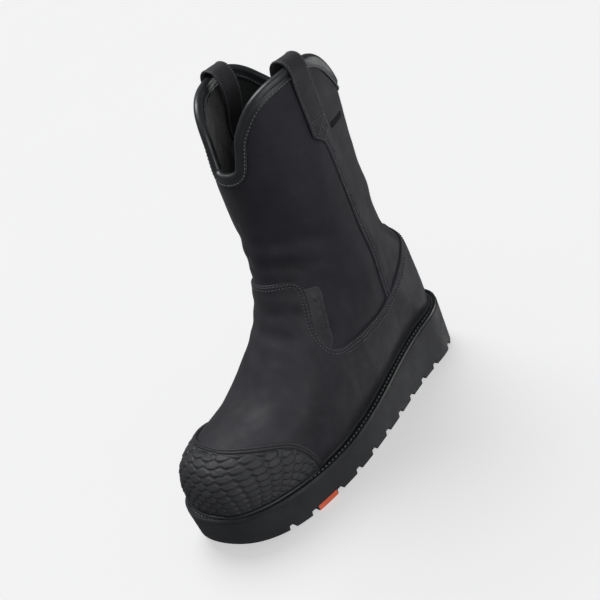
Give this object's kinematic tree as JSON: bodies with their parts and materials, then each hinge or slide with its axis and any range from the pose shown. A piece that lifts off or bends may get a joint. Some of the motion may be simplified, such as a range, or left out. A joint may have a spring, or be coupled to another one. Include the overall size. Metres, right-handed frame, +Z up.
{
  "type": "pull-on safety boot",
  "caption": "Black pull-on steel-toe work boot with scalloped collar, pull straps, scale-textured toe guard and lugged wedge sole; left foot.",
  "frame": {"origin": "bottom centre of the box around the boot, standing flat on its tread", "axes": "+Z up, toe toward -Y, outer side of this left boot toward +X"},
  "size_m": [0.1178, 0.313, 0.33],
  "materials": {
    "outsole_rubber": "matte black",
    "accent_rubber": "matte orange",
    "midsole_foam": "matte dark grey",
    "shank_steel": "brushed",
    "welt_rubber": "satin black",
    "board": "pressed fibre",
    "footbed_cloth": "woven cover over foam",
    "cap_steel": "plain steel",
    "counter_plastic": "matte",
    "foam": "laminated foam",
    "vamp_leather": "waxed nubuck, near black",
    "tab_leather": "waxed nubuck, near black",
    "guard_rubber": "matte black, scale relief",
    "shaft_leather": "waxed nubuck, near black",
    "lining_cloth": "brushed knit, dark grey",
    "binding": "smooth, semi-gloss",
    "strap_leather": "waxed nubuck, near black",
    "label_cloth": "woven"
  },
  "bodies": {
    "root": {"outsole": "outsole_rubber", "accent_lug": "accent_rubber", "midsole": "midsole_foam", "shank": "shank_steel", "welt": "welt_rubber", "welt_bead": "welt_rubber", "insole_board": "board", "footbed": "footbed_cloth", "steel_toe_cap": "cap_steel", "heel_counter": "counter_plastic", "foam_layer": "foam", "vamp": "vamp_leather", "side_tab_lateral": "tab_leather", "side_tab_medial": "tab_leather", "toe_guard": "guard_rubber", "guard_rim": "guard_rubber", "shaft_front_lateral": "shaft_leather", "shaft_front_medial": "shaft_leather", "shaft_back": "shaft_leather", "backstay": "vamp_leather", "foot_lining": "lining_cloth", "shaft_lining": "lining_cloth", "collar_binding": "binding", "pull_strap_lateral": "strap_leather", "pull_strap_medial": "strap_leather", "side_label": "label_cloth"}
  },
  "joints": []
}
